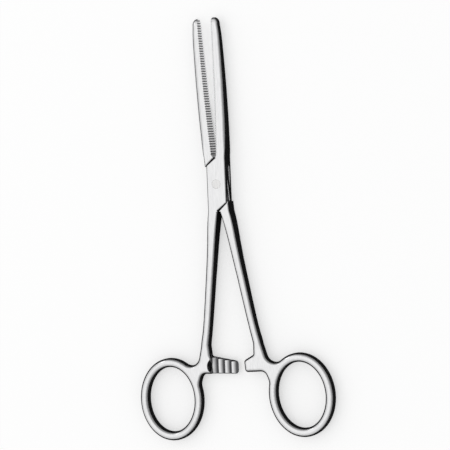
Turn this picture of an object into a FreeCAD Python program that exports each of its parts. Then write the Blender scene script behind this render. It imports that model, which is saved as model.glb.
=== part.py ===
"""Straight box-lock artery forceps, lying flat, tips towards +Y, origin on the hinge axis under the lock."""
import math
import os

import FreeCAD
import Part

V = FreeCAD.Vector

# Overall sizes in millimetres and degrees
OPENING = 5.1
LOCK_THICKNESS = 6.6
LOCK_HALF_WIDTH = 4.5
LOCK_HALF_LENGTH = 12.0
LOCK_EDGE_RADIUS = 0.8
HALF = LOCK_THICKNESS / 2
FAR = 40.0

# Box lock: slot, tongue and the slanted seams
SLOT_HEIGHT = 2.3
TONGUE_HEIGHT = 2.2
SLOT_RADIUS = 9.0
TONGUE_RADIUS = 8.9
SEAM_SIDE_Y = 7.9
SEAM_MIDDLE_Y = 11.4
SEAM_GAP = 0.08
SEAM_BEVEL = 0.3
SLOT_BEVEL = 0.22
TONGUE_BEVEL = 0.18
SLOT_END_GAP = 0.2
LOCK_ZONE_END = 0.5
PIN_RADIUS = 1.5
PIN_HEAD_RADIUS = 2.0
PIN_HEAD_DEPTH = 0.5
PIN_CLEARANCE = 0.05

# Jaws: share of the way from the lock to the tip, half width, half thickness and corner radius
JAW_STATIONS = (
    (0.0, LOCK_HALF_WIDTH, HALF, LOCK_EDGE_RADIUS),
    (0.05, 4.8, 3.22, 1.0),
    (0.12, 5.05, 3.1, 1.6),
    (0.27, 5.15, 2.9, 1.9),
    (0.42, 5.0, 2.7, 1.9),
    (0.57, 4.75, 2.5, 1.85),
    (0.725, 4.35, 2.3, 1.75),
    (0.875, 3.85, 2.1, 1.6),
    (0.945, 3.5, 1.98, 1.55),
)
TIP_Y = 72.0
TIP_START = 69.2
TIP_HALF_WIDTH = 3.1
TIP_HALF_THICKNESS = 1.88
TIP_RADIUS = 1.5
TIP_CENTRE = 0.7
DOME_ANGLES = (0, 20, 38, 53, 66, 77, 85)
JAW_OVERLAP = 0.4
FACE_CORNER_RADIUS = 0.2
FACE_START = 0.3
FACE_LEAD = 0.6
FACE_BEYOND = 3.0
JAW_CLEARANCE = 0.03
JAW_HOLLOW = 0.7
JAW_HOLLOW_PLACE = 0.35
TOOTH_LEAD = 1.2
TOOTH_PITCH = 1.09
TOOTH_DEPTH = 0.55
TIP_LAND = 1.0
TOOTH_START = LOCK_HALF_LENGTH + TOOTH_LEAD
TOOTH_COUNT = int((TIP_Y - TIP_LAND - TOOTH_START) / TOOTH_PITCH)

# Finger rings and the webs that join them to the shanks
RING_X = 26.6
RING_Y = -94.0
RING_MIDDLE_X = 13.05
RING_MIDDLE_Y = 16.2
RING_HALF_BAND = 1.95
RING_HEIGHT = 4.7
RING_EDGE_RADIUS = 1.65
WEB_REACH = 24.0
WEB_OUTER_IN = 12.0
WEB_OUTER_UP = 8.0
WEB_LOW_IN = 13.0
WEB_LOW_UP = 4.0
WEB_CORNER_IN = 15.5
BAR_BOTTOM_UP = 11.4
WEB_OUTER_LOW = (RING_X - WEB_OUTER_IN, RING_Y + WEB_OUTER_UP)
WEB_LOW = (RING_X - WEB_LOW_IN, RING_Y + WEB_LOW_UP)
WEB_CORNER = (RING_X - WEB_CORNER_IN, RING_Y + BAR_BOTTOM_UP)
NOTCH_RADIUS = 4.4
THROAT_RADIUS = 2.6
FOOT_RADIUS = 5.0
NECK_RADIUS = 0.9
BAR_TIP_RADIUS = 1.3

# Ratchet bars, in the closed position
BAR_ROOT_X = 6.9
BAR_NECK_X = 6.72
BAR_NECK_UP = 19.1
BAR_TOP_UP = 17.0
SHORT_BAR_TOP_UP = 16.9
SHORT_BAR_BOTTOM_UP = 11.8
LONG_BAR_END = -5.3
SHORT_BAR_END = 2.0
BAR_NECK = (BAR_NECK_X, RING_Y + BAR_NECK_UP)
LONG_BAR_TIP = (LONG_BAR_END, RING_Y + BAR_TOP_UP, RING_Y + BAR_BOTTOM_UP)
SHORT_BAR_TIP = (SHORT_BAR_END, RING_Y + SHORT_BAR_TOP_UP, RING_Y + SHORT_BAR_BOTTOM_UP)
RATCHET_PITCH = 3.08
RATCHET_DEPTH = 0.85
RATCHET_RELIEF = 0.12
RATCHET_CLEARANCE = 0.03
RATCHET_LAST_STEP = 0.6
RATCHET_BEVEL_TOP = 0.75
RATCHET_BEVEL_BOTTOM = 0.4
RATCHET_BEVEL_DEPTH = 0.95
SCOOP_X = 4.6
SCOOP_UP = 14.8
SCOOP_Y = RING_Y + SCOOP_UP
SCOOP_LOW_RADIUS = 2.3
SCOOP_HIGH_RADIUS = 3.7

# Shanks: share of the way from the lock to the web, middle line, width, thickness and corner radius
SHANK_END = RING_Y + WEB_REACH
SHANK_STATIONS = (
    (0.0, LOCK_HALF_WIDTH / 2 + 0.03, LOCK_HALF_WIDTH - 0.06, LOCK_THICKNESS, LOCK_EDGE_RADIUS),
    (0.07, 2.93, 4.5, 6.3, 1.0),
    (0.22, 3.88, 4.15, 5.85, 1.3),
    (0.367, 4.73, 3.85, 5.5, 1.35),
    (0.515, 5.68, 3.75, 5.2, 1.4),
    (0.667, 6.65, 3.7, 5.0, 1.45),
    (0.815, 7.64, 3.7, 4.8, 1.5),
    (0.931, 8.58, 3.85, 4.76, 1.6),
    (1.0, 9.2, 4.05, 4.8, 1.65),
)
SHANK_SHOULDER = 0.05
SHANK_TUCK = 1.5
SHANK_TUCK_DROP = 0.12


def prism(points, low, high):
    """Upright prism over a plan outline."""
    wire = Part.makePolygon([V(x, y, low) for x, y in points] + [V(points[0][0], points[0][1], low)])
    return Part.Face(wire).extrude(V(0, 0, high - low))


def rounded_section(y, left, right, half, left_radius, right_radius):
    """Closed outline in an upright plane across the instrument, with rounded corners."""
    corners = (
        (right, half, right_radius, 0),
        (left, half, left_radius, 90),
        (left, -half, left_radius, 180),
        (right, -half, right_radius, 270),
    )
    edges = []
    last = None
    first = None
    for x, z, radius, start in corners:
        centre_x = x - math.copysign(radius, math.cos(math.radians(start + 45)))
        centre_z = z - math.copysign(radius, math.sin(math.radians(start + 45)))
        arc = []
        for angle in (start, start + 45, start + 90):
            turn = math.radians(angle)
            arc.append(V(centre_x + radius * math.cos(turn), y, centre_z + radius * math.sin(turn)))
        if last is not None:
            edges.append(Part.makeLine(last, arc[0]))
        else:
            first = arc[0]
        edges.append(Part.Arc(arc[0], arc[1], arc[2]).toShape())
        last = arc[2]
    edges.append(Part.makeLine(last, first))
    return Part.Wire(edges)


def full_jaw():
    """Right jaw before its face is cut: square at the lock, rounded outside, domed at the tip."""
    wires = []
    for share, width, half, radius in JAW_STATIONS:
        y = LOCK_HALF_LENGTH + share * (TIP_START - LOCK_HALF_LENGTH)
        wires.append(rounded_section(y, -JAW_OVERLAP, width, half, FACE_CORNER_RADIUS, radius))
    for angle in DOME_ANGLES:
        scale = math.cos(math.radians(angle))
        y = TIP_START + (TIP_Y - TIP_START) * math.sin(math.radians(angle))
        left = TIP_CENTRE - (TIP_CENTRE + JAW_OVERLAP) * scale
        right = TIP_CENTRE + (TIP_HALF_WIDTH - TIP_CENTRE) * scale
        half = TIP_HALF_THICKNESS * scale
        wires.append(rounded_section(y, left, right, half, FACE_CORNER_RADIUS * scale, TIP_RADIUS * scale))
    return Part.makeLoft(wires, True, False)


def face_offset(y):
    """Distance of a gripping face from the middle when closed: bowed, so that the tips meet first."""
    end = TOOTH_START + TOOTH_COUNT * TOOTH_PITCH
    middle = LOCK_HALF_LENGTH + JAW_HOLLOW_PLACE * (end - LOCK_HALF_LENGTH)
    return JAW_CLEARANCE + JAW_HOLLOW * (1 - ((y - middle) / (end - middle)) ** 2)


def jaw_face_cutter(side):
    """Removes everything beyond the toothed gripping face. The two jaws share one row of teeth."""
    start = LOCK_HALF_LENGTH - FACE_START
    flat = LOCK_HALF_LENGTH + FACE_LEAD
    points = [(-side * FAR, start), (side * SEAM_GAP / 2, start), (side * face_offset(flat), flat)]
    for index in range(TOOTH_COUNT):
        y = TOOTH_START + index * TOOTH_PITCH
        points.append((side * face_offset(y) - TOOTH_DEPTH / 2, y))
        y += TOOTH_PITCH / 2
        points.append((side * face_offset(y) + TOOTH_DEPTH / 2, y))
    end = TOOTH_START + TOOTH_COUNT * TOOTH_PITCH
    points.append((side * JAW_CLEARANCE - TOOTH_DEPTH / 2, end))
    points.append((side * JAW_CLEARANCE, end + TOOTH_PITCH / 4))
    points.append((side * JAW_CLEARANCE, TIP_Y + FACE_BEYOND))
    points.append((-side * FAR, TIP_Y + FACE_BEYOND))
    return prism(points, -FAR, FAR)


def right_shank():
    """Right shank, tapering from the lock to the web of its ring."""
    wires = []
    for share, middle, width, height, radius in SHANK_STATIONS:
        y = -LOCK_HALF_LENGTH + share * (SHANK_END + LOCK_HALF_LENGTH)
        wires.append(rounded_section(y, middle - width / 2, middle + width / 2, height / 2, radius, radius))
    low = SHANK_END - SHANK_TUCK
    half = RING_HEIGHT / 2 - SHANK_TUCK_DROP
    wires.append(rounded_section(low, web_edge(-1, low), web_edge(1, low), half, radius, radius))
    return Part.makeLoft(wires, True, False)


def web_edge(side, y):
    """Place of the web's left or right edge just below the shank, a little inside its outline."""
    middle = SHANK_STATIONS[-1][1]
    half = SHANK_STATIONS[-1][2] / 2 - SHANK_SHOULDER
    end = BAR_NECK if side < 0 else WEB_OUTER_LOW
    share = (SHANK_END - y) / (SHANK_END - end[1])
    return (middle + side * half) * (1 - share) + end[0] * share - side * SHANK_TUCK_DROP


def ellipse_face(half_x, half_y):
    """Flat face of a ring outline at the right ring's place."""
    middle = V(RING_X, RING_Y, 0)
    if half_y > half_x:
        curve = Part.Ellipse(V(RING_X, RING_Y + half_y, 0), V(RING_X - half_x, RING_Y, 0), middle)
    else:
        curve = Part.Ellipse(V(RING_X + half_x, RING_Y, 0), V(RING_X, RING_Y + half_y, 0), middle)
    return Part.Face(Part.Wire(curve.toShape()))


def upright_edges(shape):
    """All upright edges of a prism with their plan points."""
    found = []
    for edge in shape.Edges:
        box = edge.BoundBox
        if box.ZLength > RING_HEIGHT * 0.9 and box.XLength < 0.01 and box.YLength < 0.01:
            found.append((box.XMin, box.YMin, edge))
    return found


def edge_near(shape, spot):
    """Upright edge closest to a plan point."""
    return [min(upright_edges(shape), key=lambda e: math.hypot(e[0] - spot[0], e[1] - spot[1]))[2]]


def edges_on_ring(shape):
    """Upright edges where the web meets the ring's outside, lowest first."""
    found = []
    for x, y, edge in upright_edges(shape):
        across = (x - RING_X) / (RING_MIDDLE_X + RING_HALF_BAND)
        along = (y - RING_Y) / (RING_MIDDLE_Y + RING_HALF_BAND)
        if abs(math.hypot(across, along) - 1) < 0.001 and x < RING_X - RING_HALF_BAND:
            found.append((y, edge))
    return [edge for y, edge in sorted(found, key=lambda pair: pair[0])]


def right_handle(tip):
    """Right ring, web and ratchet bar with the bar at full thickness, edges rounded."""
    reach, top, bottom = tip
    end_x = SHANK_STATIONS[-1][1]
    end_half = SHANK_STATIONS[-1][2] / 2 - SHANK_SHOULDER
    web = (
        (end_x - end_half, SHANK_END),
        BAR_NECK,
        (reach, top),
        (reach, bottom),
        WEB_CORNER,
        WEB_LOW,
        WEB_OUTER_LOW,
        (end_x + end_half, SHANK_END),
    )
    wire = Part.makePolygon([V(x, y, 0) for x, y in web] + [V(web[0][0], web[0][1], 0)])
    outer = ellipse_face(RING_MIDDLE_X + RING_HALF_BAND, RING_MIDDLE_Y + RING_HALF_BAND)
    hole = ellipse_face(RING_MIDDLE_X - RING_HALF_BAND, RING_MIDDLE_Y - RING_HALF_BAND)
    plan = Part.Face(wire).fuse(outer).removeSplitter().cut(hole)
    body = plan.Faces[0].extrude(V(0, 0, RING_HEIGHT))
    body.translate(V(0, 0, -RING_HEIGHT / 2))
    body = body.makeFillet(NOTCH_RADIUS, edges_on_ring(body)[-1:])
    body = body.makeFillet(FOOT_RADIUS, edges_on_ring(body)[:1])
    body = body.makeFillet(NECK_RADIUS, edge_near(body, BAR_NECK))
    body = body.makeFillet(BAR_TIP_RADIUS, edge_near(body, (reach, top)) + edge_near(body, (reach, bottom)))
    body = body.makeFillet(THROAT_RADIUS, edge_near(body, WEB_CORNER))
    rims = []
    for edge in body.Edges:
        box = edge.BoundBox
        flat = box.ZLength < 0.001 and abs(abs(box.ZMin) - RING_HEIGHT / 2) < 0.001
        if flat and box.YMin < SHANK_END - 0.01:
            rims.append(edge)
    return body.makeFillet(RING_EDGE_RADIUS, rims)


def mirrored(shape):
    """Left-hand copy of a right-hand piece."""
    return shape.mirror(V(0, 0, 0), V(1, 0, 0))


def lock_bar():
    """Squared bar that both arms share at the lock."""
    wire = rounded_section(
        -LOCK_HALF_LENGTH, -LOCK_HALF_WIDTH, LOCK_HALF_WIDTH, HALF, LOCK_EDGE_RADIUS, LOCK_EDGE_RADIUS
    )
    return Part.Face(wire).extrude(V(0, 2 * LOCK_HALF_LENGTH, 0))


def seam_wedge(side, shift):
    """Plan region beyond the slanted seam: upper left for side 1, lower right for side -1."""
    slope = (SEAM_MIDDLE_Y - SEAM_SIDE_Y) / LOCK_HALF_WIDTH
    rise = shift * math.hypot(1, slope)
    corner = SEAM_MIDDLE_Y + rise - shift * slope
    low = SEAM_MIDDLE_Y + rise - slope * (LOCK_HALF_WIDTH + 3)
    points = [
        (-side * shift, side * corner),
        (-side * (LOCK_HALF_WIDTH + 3), side * low),
        (-side * (LOCK_HALF_WIDTH + 3), side * (LOCK_HALF_LENGTH + 1)),
        (-side * shift, side * (LOCK_HALF_LENGTH + 1)),
    ]
    return points


def seam_groove(side, face):
    """Small V groove where the bevelled edges of the two arms meet along a slanted seam."""
    slope = (SEAM_MIDDLE_Y - SEAM_SIDE_Y) / LOCK_HALF_WIDTH
    start = V(0, side * SEAM_MIDDLE_Y, 0)
    along = V(-side, -side * slope, 0)
    along.normalize()
    across = V(-along.y, along.x, 0)
    surface = face * HALF
    half_width = SEAM_GAP / 2 + SEAM_BEVEL
    begin = start - along * 0.1
    points = []
    raised = face * SEAM_BEVEL
    for offset, level in ((-2 * half_width, raised), (2 * half_width, raised), (0, -raised)):
        spot = begin + across * offset
        points.append(V(spot.x, spot.y, surface + level))
    wire = Part.makePolygon(points + [points[0]])
    return Part.Face(wire).extrude(along * (LOCK_HALF_WIDTH * 2))


def seam_grooves():
    """All four seam grooves as one cutter."""
    grooves = [seam_groove(side, face) for side in (1, -1) for face in (1, -1)]
    return grooves[0].multiFuse(grooves[1:])


def pin_shape(radius, head_radius):
    """Pin with a countersunk head at each face of the lock."""
    body = Part.makeCylinder(radius, LOCK_THICKNESS, V(0, 0, -HALF), V(0, 0, 1))
    top = Part.makeCone(radius, head_radius, PIN_HEAD_DEPTH, V(0, 0, HALF - PIN_HEAD_DEPTH), V(0, 0, 1))
    bottom = Part.makeCone(radius, head_radius, PIN_HEAD_DEPTH, V(0, 0, PIN_HEAD_DEPTH - HALF), V(0, 0, -1))
    return body.fuse(top).fuse(bottom).removeSplitter()


def bevel_cutter(start, end, width, face):
    """Slopes one long edge of a bar's toothed side, from the bar's root to its tip."""
    along = V(end[0] - start[0], end[1] - start[1], 0)
    along.normalize()
    out = V(along.y, -along.x, 0)
    if out.y * (start[1] - SCOOP_Y) < 0:
        out = out * -1
    level = -face * RATCHET_CLEARANCE
    steep = RATCHET_BEVEL_DEPTH / width
    begin = V(start[0], start[1], 0) + along * ((BAR_ROOT_X - start[0]) / along.x + 0.2)
    points = []
    for offset, drop in ((-width, 0), (width, 0), (width, 2 * width * steep), (-width, 0)):
        spot = begin + out * offset
        points.append(V(spot.x, spot.y, level - face * drop))
    reach = (end[0] - BAR_ROOT_X) / along.x + 3
    return Part.Face(Part.makePolygon(points)).extrude(along * reach)


def ratchet_cutter(tip, face):
    """Removes the half of a bar that faces the other bar, and leaves saw teeth along it."""
    reach, top, bottom = tip
    level = -face * RATCHET_CLEARANCE
    floor = level - face * RATCHET_DEPTH
    points = [(BAR_ROOT_X, level)]
    x = BAR_ROOT_X
    while x - reach > RATCHET_LAST_STEP:
        x -= RATCHET_PITCH
        points.append((x + RATCHET_RELIEF, floor))
        points.append((x, level))
    points.append((x - 2 * RATCHET_PITCH, level))
    points.append((x - 2 * RATCHET_PITCH, face * RING_HEIGHT))
    points.append((BAR_ROOT_X, face * RING_HEIGHT))
    low = RING_Y
    wire = Part.makePolygon([V(px, low, pz) for px, pz in points + points[:1]])
    teeth = Part.Face(wire).extrude(V(0, BAR_NECK[1] + 2 - low, 0))
    height = RING_HEIGHT / 2 + RATCHET_CLEARANCE
    foot = V(SCOOP_X, SCOOP_Y, level)
    scoop = Part.makeCone(SCOOP_LOW_RADIUS, SCOOP_HIGH_RADIUS, height, foot, V(0, 0, face))
    upper = bevel_cutter(BAR_NECK, (reach, top), RATCHET_BEVEL_TOP, face)
    lower = bevel_cutter(WEB_CORNER, (reach, bottom), RATCHET_BEVEL_BOTTOM, face)
    return teeth, scoop, upper, lower


def side_bevel(side, face, level, bevel, radius):
    """Cutter for a long edge at the lock's side: bevel above zero for the slot, below for the tongue."""
    end = math.sqrt(radius ** 2 - LOCK_HALF_WIDTH ** 2)
    size = abs(bevel)
    points = [
        V(side * (LOCK_HALF_WIDTH - size), -end, face * level),
        V(side * (LOCK_HALF_WIDTH + size), -end, face * level),
        V(side * (LOCK_HALF_WIDTH + size), -end, face * (level + 2 * bevel)),
    ]
    return Part.Face(Part.makePolygon(points + points[:1])).extrude(V(0, 2 * end, 0))


def build_box_arm():
    """Left ring and shank, slotted box, right jaw."""
    handle = right_handle(LONG_BAR_TIP)
    for cutter in ratchet_cutter(LONG_BAR_TIP, 1):
        handle = handle.cut(cutter)
    arm = lock_bar().fuse(full_jaw()).fuse(mirrored(right_shank())).fuse(mirrored(handle))
    for side in (1, -1):
        arm = arm.cut(prism(seam_wedge(side, -SEAM_GAP / 2), -FAR, FAR))
    slot_low = -SLOT_HEIGHT / 2
    slot = Part.makeCylinder(SLOT_RADIUS, SLOT_HEIGHT, V(0, 0, slot_low), V(0, 0, 1))
    reach = LOCK_HALF_LENGTH + SLOT_END_GAP
    slot = slot.fuse(Part.makeBox(FAR, reach, SLOT_HEIGHT, V(SEAM_GAP / 2 - FAR, 0, slot_low)))
    slot = slot.fuse(Part.makeBox(FAR, reach, SLOT_HEIGHT, V(-SEAM_GAP / 2, -reach, slot_low)))
    for side in (1, -1):
        for face in (1, -1):
            slot = slot.fuse(side_bevel(side, face, SLOT_HEIGHT / 2, SLOT_BEVEL, SLOT_RADIUS))
    arm = arm.cut(slot).cut(jaw_face_cutter(1)).cut(seam_grooves())
    arm = arm.cut(pin_shape(PIN_RADIUS, PIN_HEAD_RADIUS))
    return arm.removeSplitter()


def build_tongue_arm():
    """Right ring and shank, flat tongue, left jaw."""
    handle = right_handle(SHORT_BAR_TIP)
    for cutter in ratchet_cutter(SHORT_BAR_TIP, -1):
        handle = handle.cut(cutter)
    arm = lock_bar().fuse(mirrored(full_jaw())).fuse(right_shank()).fuse(handle)
    reach = LOCK_HALF_LENGTH + LOCK_ZONE_END
    lock_zone = Part.makeBox(FAR * 2, reach * 2, FAR * 2, V(-FAR, -reach, -FAR))
    keep = prism(seam_wedge(1, SEAM_GAP / 2), -FAR, FAR)
    keep = keep.fuse(prism(seam_wedge(-1, SEAM_GAP / 2), -FAR, FAR))
    tongue_low = -TONGUE_HEIGHT / 2
    tongue = Part.makeCylinder(TONGUE_RADIUS, TONGUE_HEIGHT, V(0, 0, tongue_low), V(0, 0, 1))
    tongue = tongue.fuse(Part.makeBox(FAR, reach, TONGUE_HEIGHT, V(-SEAM_GAP / 2 - FAR, 0, tongue_low)))
    tongue = tongue.fuse(Part.makeBox(FAR, reach, TONGUE_HEIGHT, V(SEAM_GAP / 2, -reach, tongue_low)))
    arm = arm.cut(lock_zone.cut(keep.fuse(tongue)))
    for side in (1, -1):
        for face in (1, -1):
            arm = arm.cut(side_bevel(side, face, TONGUE_HEIGHT / 2, -TONGUE_BEVEL, TONGUE_RADIUS))
    arm = arm.cut(jaw_face_cutter(-1)).cut(seam_grooves())
    hole = Part.makeCylinder(PIN_RADIUS + PIN_CLEARANCE, LOCK_THICKNESS, V(0, 0, -HALF), V(0, 0, 1))
    return arm.cut(hole).removeSplitter()


def placed(shape, turn):
    """Turns a closed arm to its resting angle and stands the lock on the floor."""
    result = shape.copy()
    result.rotate(V(0, 0, 0), V(0, 0, 1), turn)
    result.translate(V(0, 0, HALF))
    return result


def main():
    os.makedirs("parts", exist_ok=True)
    pieces = {
        "box_arm": placed(build_box_arm(), -OPENING / 2),
        "tongue_arm": placed(build_tongue_arm(), OPENING / 2),
        "hinge_pin": placed(pin_shape(PIN_RADIUS, PIN_HEAD_RADIUS), 0),
    }
    for name, shape in pieces.items():
        solids = shape.Solids
        print(name, "solids", len(solids), "volume", round(shape.Volume, 2), "valid", shape.isValid())
        shape = solids[0] if len(solids) == 1 else shape
        shape.exportStep("parts/" + name + ".step")


main()
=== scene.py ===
import math

import bpy
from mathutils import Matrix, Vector


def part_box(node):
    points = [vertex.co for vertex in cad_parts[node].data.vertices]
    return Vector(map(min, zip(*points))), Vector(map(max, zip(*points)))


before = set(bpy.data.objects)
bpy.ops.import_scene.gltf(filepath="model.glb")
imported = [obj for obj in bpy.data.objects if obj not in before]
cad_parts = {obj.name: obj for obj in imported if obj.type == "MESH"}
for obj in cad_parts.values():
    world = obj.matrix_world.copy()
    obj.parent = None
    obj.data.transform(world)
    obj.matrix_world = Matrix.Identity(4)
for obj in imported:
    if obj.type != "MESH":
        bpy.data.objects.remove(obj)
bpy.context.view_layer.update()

# Camera, placed from the picture: seen from above and a little from the right
CAMERA_PLACE = (0.368232, 0.003976, 0.828108)
CAMERA_TURN = (-3.461, 23.792, -5.109)
CAMERA_LENS = 166.955
CAMERA_NEAR = 0.01
CAMERA_FAR = 20
SENSOR_WIDTH = 36.0

# World and floor
WHITE = (1, 1, 1, 1)
WORLD_LIGHT = 0.5
FLOOR_HALF = 3.0
FLOOR_DEPTH = 0.00005
FLOOR_COLOUR = (0.86, 0.86, 0.86)
FLOOR_LIFT = 0.5

# Lamps
SOFTBOX_PLACE = (-0.31, 0.02, 1.16)
SOFTBOX_SIZE = (1.0, 1.1)
SOFTBOX_POWER = 0.9
KEY_PLACE = (-0.75, 0.55, 0.8)
KEY_SIZE = (0.22, 0.22)
KEY_POWER = 0.3

# Dark flags round the set: name, first and last angle, and the angle up to which each stands
FLAGS = (
    ("flag_right", -60, 60, 16),
    ("flag_back", 60, 120, 14),
    ("flag_left", 120, 240, 14),
    ("flag_front", 240, 300, 14),
)
FLAG_RADIUS = 0.9
FLAG_STEP = 6
FLAG_COLOUR = (0.02, 0.02, 0.02)

# Dark card on the floor: its jaw values are shares of the jaws' reach and the pin's size
CARD_COLOUR = (0.06, 0.06, 0.06)
CARD_HALF = 0.35
CARD_DEPTH = 0.00004
CARD_JAW_SHARE = 0.6
CARD_JAW_START = 5

# Steel colours, with painted shade for rims and recesses and a painted highlight for edges
STEEL = (0.7, 0.7, 0.705)
PIN_STEEL = (0.66, 0.655, 0.65)
# Painted shade for walls and rims, blended in by their direction
RIM_PAINTED_SHADE = (0.24, 0.24, 0.244)
# Painted highlight for sharp edges of the jaws and the lock
EDGE_PAINTED_HIGHLIGHT = (0.93, 0.93, 0.935)
# Painted shade for seams, hollows and the feet of the ratchet teeth
RECESS_PAINTED_SHADE = (0.035, 0.035, 0.038)

# Polishing marks, which run along each arm, and the gloss that varies in clouds
STEEL_ROUGHNESS = 0.15
PIN_ROUGHNESS = 0.17
ARM_TURN = 2.55
PIN_TURN = 40
POLISH_SCALE = (6000, 260, 6000)
POLISH_DETAIL = 4.0
POLISH_ROUGHNESS = 0.6
POLISH_STRENGTH = 0.12
POLISH_DEPTH = 0.00002
MARK_LOW = 0.38
MARK_HIGH = 0.62
MARK_DARK = 0.88
CLOUD_SCALE = 90.0
CLOUD_DETAIL = 3.0
CLOUD_ROUGHNESS = 0.55
CLOUD_LOW = 0.35
CLOUD_HIGH = 0.65
GLOSS_LEAST = 0.8
GLOSS_MOST = 1.25
SOFT_SIZE = 0.00012
SOFT_SAMPLES = 4

# Painted shade on walls and rims: the share of the surface's direction that is upright, where the shade
# starts and ends
RIM_SIZE = 0.0008
RIM_SAMPLES = 8
RIM_STEEP = 0.82
RIM_FLAT = 0.95

# Painted highlights on the sharp edges of the jaws and the lock
EDGE_SIZE = 0.0004
EDGE_FULL = 0.6
EDGE_NONE = 0.88
SLOPE_STEEP = 0.75
SLOPE_FLAT = 0.9
HIGHLIGHT_START = -0.02
HIGHLIGHT_FADE = 0.005

# Painted shade in grooves between the arms and in hollows of one arm
ENCLOSED_SAMPLES = 8
GROOVE_SIZE = 0.0007
GROOVE_DARK = 0.62
GROOVE_LIGHT = 0.84
HOLLOW_SIZE = 0.0025
HOLLOW_DARK = 0.68
HOLLOW_LIGHT = 0.97
HOLLOW_LEFT = 0.2

# Toothed faces of the jaws
TEETH_START = 0.0132
TEETH_FADE = 0.0006
INNER_AWAY = 0.2
INNER_FULL = 0.4

# Painted shade towards the feet of the milled ratchet teeth: distances of their feet from the middle
# level of the instrument
RATCHET_END = -0.06
RATCHET_FADE = 0.005
FOOT_START = 0.0002
FOOT_END = 0.0006
FOOT_PAST = 0.00092
FOOT_BEYOND = 0.001
FOOT_LEFT = 0.06
FOOT_STEEP = 0.5
FOOT_FLAT = 0.8


def node(tree, kind, **inputs):
    """New node with values set on its sockets, whose names are written with underscores."""
    made = tree.nodes.new(kind)
    for name, value in inputs.items():
        made.inputs[name.replace("_", " ")].default_value = value
    return made


def combined(tree, operation, first, second):
    """Result of a Math node on two signals."""
    made = node(tree, "ShaderNodeMath")
    made.operation = operation
    tree.links.new(first, made.inputs[0])
    tree.links.new(second, made.inputs[1])
    return made.outputs[0]


def absolute(tree, signal):
    made = node(tree, "ShaderNodeMath")
    made.operation = "ABSOLUTE"
    tree.links.new(signal, made.inputs[0])
    return made.outputs[0]


def axes(tree, vector):
    """The X, Y and Z parts of a vector signal."""
    parts = node(tree, "ShaderNodeSeparateXYZ")
    tree.links.new(vector, parts.inputs[0])
    return parts.outputs


def ramp(tree, source, low, high, low_value, high_value):
    """Maps low..high of a signal to low_value..high_value, clamped."""
    made = node(tree, "ShaderNodeMapRange")
    made.inputs["From Min"].default_value = low
    made.inputs["From Max"].default_value = high
    made.inputs["To Min"].default_value = low_value
    made.inputs["To Max"].default_value = high_value
    tree.links.new(source, made.inputs["Value"])
    return made.outputs["Result"]


def opposite(tree, signal):
    return ramp(tree, signal, 0.0, 1.0, 1.0, 0.0)


def blend(tree, share, first, second):
    """Mixes two colours, each a plain colour or the output of another node."""
    made = node(tree, "ShaderNodeMix")
    made.data_type = "RGBA"
    for name, value in (("A", first), ("B", second)):
        socket = [entry for entry in made.inputs if entry.name == name and entry.type == "RGBA"][0]
        if isinstance(value, tuple):
            socket.default_value = (*value, 1)
        else:
            tree.links.new(value, socket)
    tree.links.new(share, made.inputs["Factor"])
    return [entry for entry in made.outputs if entry.type == "RGBA"][0]


def add_camera():
    data = bpy.data.cameras.new("camera")
    data.sensor_width = SENSOR_WIDTH
    data.lens = CAMERA_LENS
    data.clip_start = CAMERA_NEAR
    data.clip_end = CAMERA_FAR
    camera = bpy.data.objects.new("camera", data)
    camera.location = CAMERA_PLACE
    camera.rotation_euler = [math.radians(angle) for angle in CAMERA_TURN]
    bpy.context.collection.objects.link(camera)
    bpy.context.scene.camera = camera


def add_lamp(name, place, size, power):
    """Soft square or oblong lamp that faces the origin, which is at the lock."""
    data = bpy.data.lights.new(name, "AREA")
    data.shape = "RECTANGLE"
    data.size, data.size_y = size
    data.energy = power
    lamp = bpy.data.objects.new(name, data)
    lamp.location = place
    lamp.rotation_euler = (-Vector(place)).to_track_quat("-Z", "Y").to_euler()
    bpy.context.collection.objects.link(lamp)


def seen_directly(tree):
    """Signal of 1 for rays from the camera, or from a shiny or clear surface."""
    path = node(tree, "ShaderNodeLightPath")
    first = combined(tree, "MAXIMUM", path.outputs["Is Camera Ray"], path.outputs["Is Glossy Ray"])
    return combined(tree, "MAXIMUM", first, path.outputs["Is Transmission Ray"])


def add_world():
    """Soft even light, with a background that shows as white."""
    world = bpy.data.worlds.new("studio")
    bpy.context.scene.world = world
    world.use_nodes = True
    tree = world.node_tree
    tree.nodes.clear()
    out = node(tree, "ShaderNodeOutputWorld")
    lighting = node(tree, "ShaderNodeBackground", Color=WHITE, Strength=WORLD_LIGHT)
    white = node(tree, "ShaderNodeBackground", Color=WHITE, Strength=1.0)
    mix = node(tree, "ShaderNodeMixShader")
    tree.links.new(seen_directly(tree), mix.inputs[0])
    tree.links.new(lighting.outputs[0], mix.inputs[1])
    tree.links.new(white.outputs[0], mix.inputs[2])
    tree.links.new(mix.outputs[0], out.inputs["Surface"])


def flat_sheet(name, outline, depth):
    """One level face with a given outline, a little below the object."""
    mesh = bpy.data.meshes.new(name)
    points = [(x, y, 0) for x, y in outline]
    mesh.from_pydata(points, [], [tuple(range(len(points)))])
    sheet = bpy.data.objects.new(name, mesh)
    sheet.location.z = -depth
    return sheet


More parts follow.
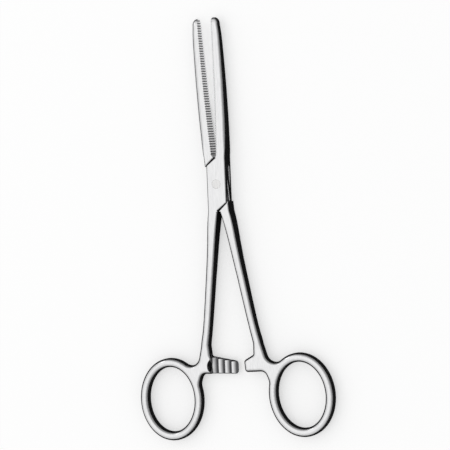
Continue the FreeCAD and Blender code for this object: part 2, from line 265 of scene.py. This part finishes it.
def add_floor():
    """Pale floor that keeps the object's shadow and shows as nearly white."""
    half = FLOOR_HALF
    corners = ((-half, -half), (half, -half), (half, half), (-half, half))
    floor = flat_sheet("floor", corners, FLOOR_DEPTH)
    bpy.context.collection.objects.link(floor)
    material = bpy.data.materials.new("white_floor")
    material.use_nodes = True
    tree = material.node_tree
    tree.nodes.clear()
    out = node(tree, "ShaderNodeOutputMaterial")
    diffuse = node(tree, "ShaderNodeBsdfDiffuse", Color=(*FLOOR_COLOUR, 1))
    lift = node(tree, "ShaderNodeEmission", Color=WHITE)
    tree.links.new(ramp(tree, seen_directly(tree), 0.0, 1.0, 0.0, FLOOR_LIFT), lift.inputs["Strength"])
    both = node(tree, "ShaderNodeAddShader")
    tree.links.new(diffuse.outputs[0], both.inputs[0])
    tree.links.new(lift.outputs[0], both.inputs[1])
    tree.links.new(both.outputs[0], out.inputs["Surface"])
    floor.data.materials.append(material)


def reflected_only(thing, colour):
    """Makes a dark studio card that shows only in reflections."""
    material = bpy.data.materials.new(thing.name)
    material.use_nodes = True
    shader = material.node_tree.nodes["Principled BSDF"]
    shader.inputs["Base Color"].default_value = (*colour, 1)
    shader.inputs["Roughness"].default_value = 1.0
    shader.inputs["Specular IOR Level"].default_value = 0.0
    thing.data.materials.append(material)
    thing.visible_camera = False
    thing.visible_shadow = False
    thing.visible_diffuse = False
    bpy.context.collection.objects.link(thing)


def add_flag(name, first, last, high):
    """Dark card standing round the set, from the floor to an angle above it."""
    steps = (last - first) // FLAG_STEP
    points = []
    faces = []
    for index in range(steps + 1):
        turn = math.radians(first + FLAG_STEP * index)
        place = (FLAG_RADIUS * math.cos(turn), FLAG_RADIUS * math.sin(turn))
        points.append((*place, 0))
        points.append((*place, FLAG_RADIUS * math.tan(math.radians(high))))
        if index:
            base = 2 * index
            faces.append((base - 2, base, base + 1, base - 1))
    mesh = bpy.data.meshes.new(name)
    mesh.from_pydata(points, [], faces)
    reflected_only(bpy.data.objects.new(name, mesh), FLAG_COLOUR)


def add_card():
    """Dark card on the floor round the instrument, open at the left of the jaws."""
    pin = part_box("hinge_pin")[1]
    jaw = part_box("box_arm")[1]
    tip_side = jaw[0] * CARD_JAW_SHARE
    jaw_start = pin[1] * CARD_JAW_START
    half = CARD_HALF
    outline = (
        (-half, -half),
        (half, -half),
        (half, half),
        (tip_side, half),
        (tip_side, jaw[1]),
        (pin[0], jaw_start),
        (-half, jaw_start),
    )
    reflected_only(flat_sheet("floor_card", outline, CARD_DEPTH), CARD_COLOUR)


def enclosed(tree, size, own_piece_only, inside=False):
    """Signal of 1 in the open that falls in hollows of a size, or at sharp edges if inside."""
    made = node(tree, "ShaderNodeAmbientOcclusion", Distance=size)
    made.samples = ENCLOSED_SAMPLES
    made.only_local = own_piece_only
    made.inside = inside
    return made.outputs["AO"]


def face_share(tree, direction, steep, flat):
    """Signal of 0 on walls and steep rims, rising to 1 on the upper and lower faces."""
    return ramp(tree, absolute(tree, axes(tree, direction)["Z"]), steep, flat, 0.0, 1.0)


def near_pin(tree, place):
    """Signal of 1 on the pin and the rim of its hole, which are ground flush, and 0 beyond."""
    level = node(tree, "ShaderNodeMapping")
    level.inputs["Scale"].default_value = (1, 1, 0)
    tree.links.new(place.outputs["Object"], level.inputs["Vector"])
    length = node(tree, "ShaderNodeVectorMath")
    length.operation = "LENGTH"
    tree.links.new(level.outputs[0], length.inputs[0])
    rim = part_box("hinge_pin")[1][0] + RIM_SIZE
    return ramp(tree, length.outputs["Value"], rim, rim + RIM_SIZE, 1.0, 0.0)


def teeth_zone(tree, place):
    """Signal of 1 beyond the lock, where the jaws have their teeth."""
    along = axes(tree, place.outputs["Object"])["Y"]
    return ramp(tree, along, TEETH_START, TEETH_START + TEETH_FADE, 0.0, 1.0)


def jaw_face(tree, place, inner):
    """Signal of 1 on a jaw's toothed face, which looks along X to the side whose sign is inner."""
    across = axes(tree, place.outputs["Normal"])["X"]
    towards = ramp(tree, across, inner * INNER_AWAY, inner * INNER_FULL, 0.0, 1.0)
    return combined(tree, "MULTIPLY", towards, teeth_zone(tree, place))


def ratchet_shade(tree, place):
    """Signal of 1 that falls towards the feet of the milled ratchet teeth, where shade is painted."""
    parts = axes(tree, place.outputs["Object"])
    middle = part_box("hinge_pin")[1][2] / 2
    offset = ramp(tree, parts["Z"], middle - FOOT_BEYOND, middle + FOOT_BEYOND, -1.0, 1.0)
    height = absolute(tree, offset)
    light = ramp(tree, height, FOOT_START / FOOT_BEYOND, FOOT_END / FOOT_BEYOND, 1.0, FOOT_LEFT)
    beyond = ramp(tree, height, FOOT_PAST / FOOT_BEYOND, 1.0, 0.0, 1.0)
    wall = opposite(tree, face_share(tree, place.outputs["Normal"], FOOT_STEEP, FOOT_FLAT))
    elsewhere = ramp(tree, parts["Y"], RATCHET_END, RATCHET_END + RATCHET_FADE, 0.0, 1.0)
    light = combined(tree, "MAXIMUM", light, beyond)
    light = combined(tree, "MAXIMUM", light, wall)
    return combined(tree, "MAXIMUM", light, elsewhere)


def satin(tree, shader, place, colour, roughness, turn):
    """Sets roughness and relief of polished steel, and gives its colour with the fine marks."""
    along = node(tree, "ShaderNodeMapping")
    along.inputs["Rotation"].default_value = (0, 0, math.radians(turn))
    along.inputs["Scale"].default_value = POLISH_SCALE
    tree.links.new(place.outputs["Object"], along.inputs["Vector"])
    marks = node(tree, "ShaderNodeTexNoise", Scale=1.0, Detail=POLISH_DETAIL, Roughness=POLISH_ROUGHNESS)
    tree.links.new(along.outputs[0], marks.inputs["Vector"])
    clouds = node(tree, "ShaderNodeTexNoise", Scale=CLOUD_SCALE, Detail=CLOUD_DETAIL)
    clouds.inputs["Roughness"].default_value = CLOUD_ROUGHNESS
    tree.links.new(place.outputs["Object"], clouds.inputs["Vector"])
    least = roughness * GLOSS_LEAST
    most = roughness * GLOSS_MOST
    gloss = ramp(tree, clouds.outputs[0], CLOUD_LOW, CLOUD_HIGH, least, most)
    tree.links.new(gloss, shader.inputs["Roughness"])
    soft = node(tree, "ShaderNodeBevel", Radius=SOFT_SIZE)
    soft.samples = SOFT_SAMPLES
    bump = node(tree, "ShaderNodeBump", Strength=POLISH_STRENGTH, Distance=POLISH_DEPTH)
    tree.links.new(marks.outputs[0], bump.inputs["Height"])
    tree.links.new(soft.outputs[0], bump.inputs["Normal"])
    tree.links.new(bump.outputs[0], shader.inputs["Normal"])
    dark_marks = tuple(value * MARK_DARK for value in colour)
    return blend(tree, ramp(tree, marks.outputs[0], MARK_LOW, MARK_HIGH, 0.0, 1.0), dark_marks, colour)


def with_painted_rim_shade(tree, place, tone, inner):
    """Painted shade: darkens walls and rims by the way they face, but neither the flush pin nor the
    toothed faces.
    """
    rounded = node(tree, "ShaderNodeBevel", Radius=RIM_SIZE)
    rounded.samples = RIM_SAMPLES
    face = face_share(tree, rounded.outputs[0], RIM_STEEP, RIM_FLAT)
    face = combined(tree, "MAXIMUM", face, near_pin(tree, place))
    if inner:
        face = combined(tree, "MAXIMUM", face, jaw_face(tree, place, inner))
    return blend(tree, face, RIM_PAINTED_SHADE, tone)


def with_painted_edge_highlights(tree, place, tone):
    """Painted highlight: brightens sharp edges of walls from the lock to the tips."""
    along = axes(tree, place.outputs["Object"])["Y"]
    working_end = ramp(tree, along, HIGHLIGHT_START, HIGHLIGHT_START + HIGHLIGHT_FADE, 0.0, 1.0)
    slope = opposite(tree, face_share(tree, place.outputs["Normal"], SLOPE_STEEP, SLOPE_FLAT))
    edge = ramp(tree, enclosed(tree, EDGE_SIZE, True, True), EDGE_FULL, EDGE_NONE, 1.0, 0.0)
    # Painted highlight on sharp edges of walls
    highlight = combined(tree, "MULTIPLY", edge, combined(tree, "MULTIPLY", slope, working_end))
    return blend(tree, highlight, tone, EDGE_PAINTED_HIGHLIGHT)


def with_painted_recess_shade(tree, place, tone):
    """Paints shade into seams between pieces, hollows of one piece and the feet of the ratchet teeth."""
    groove = ramp(tree, enclosed(tree, GROOVE_SIZE, False), GROOVE_DARK, GROOVE_LIGHT, 0.0, 1.0)
    hollow = ramp(tree, enclosed(tree, HOLLOW_SIZE, True), HOLLOW_DARK, HOLLOW_LIGHT, HOLLOW_LEFT, 1.0)
    hollow = combined(tree, "MAXIMUM", hollow, teeth_zone(tree, place))
    shade = combined(tree, "MULTIPLY", groove, hollow)
    shade = combined(tree, "MULTIPLY", shade, ratchet_shade(tree, place))
    return blend(tree, shade, RECESS_PAINTED_SHADE, tone)


def steel(name, colour, roughness, turn, inner):
    """Polished steel: fine polishing marks at an angle, painted shade on rims, painted highlights on
    edges and painted shade in recesses.
    """
    material = bpy.data.materials.new(name)
    material.use_nodes = True
    tree = material.node_tree
    shader = tree.nodes["Principled BSDF"]
    shader.inputs["Metallic"].default_value = 1.0
    place = node(tree, "ShaderNodeTexCoord")
    tone = satin(tree, shader, place, colour, roughness, turn)
    tone = with_painted_rim_shade(tree, place, tone, inner)
    tone = with_painted_edge_highlights(tree, place, tone)
    tone = with_painted_recess_shade(tree, place, tone)
    tree.links.new(tone, shader.inputs["Base Color"])
    return material


def dress(name, material):
    """Gives a piece of the frame its only material."""
    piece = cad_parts[name]
    piece.data.materials.clear()
    piece.data.materials.append(material)


add_camera()
add_world()
add_floor()
add_lamp("softbox", SOFTBOX_PLACE, SOFTBOX_SIZE, SOFTBOX_POWER)
add_lamp("key", KEY_PLACE, KEY_SIZE, KEY_POWER)
for flag in FLAGS:
    add_flag(*flag)
add_card()
dress("box_arm", steel("polished_steel_box", STEEL, STEEL_ROUGHNESS, ARM_TURN, -1))
dress("tongue_arm", steel("polished_steel_tongue", STEEL, STEEL_ROUGHNESS, -ARM_TURN, 1))
dress("hinge_pin", steel("pin_steel", PIN_STEEL, PIN_ROUGHNESS, PIN_TURN, 0))

bpy.context.scene.view_settings.view_transform = "Standard"
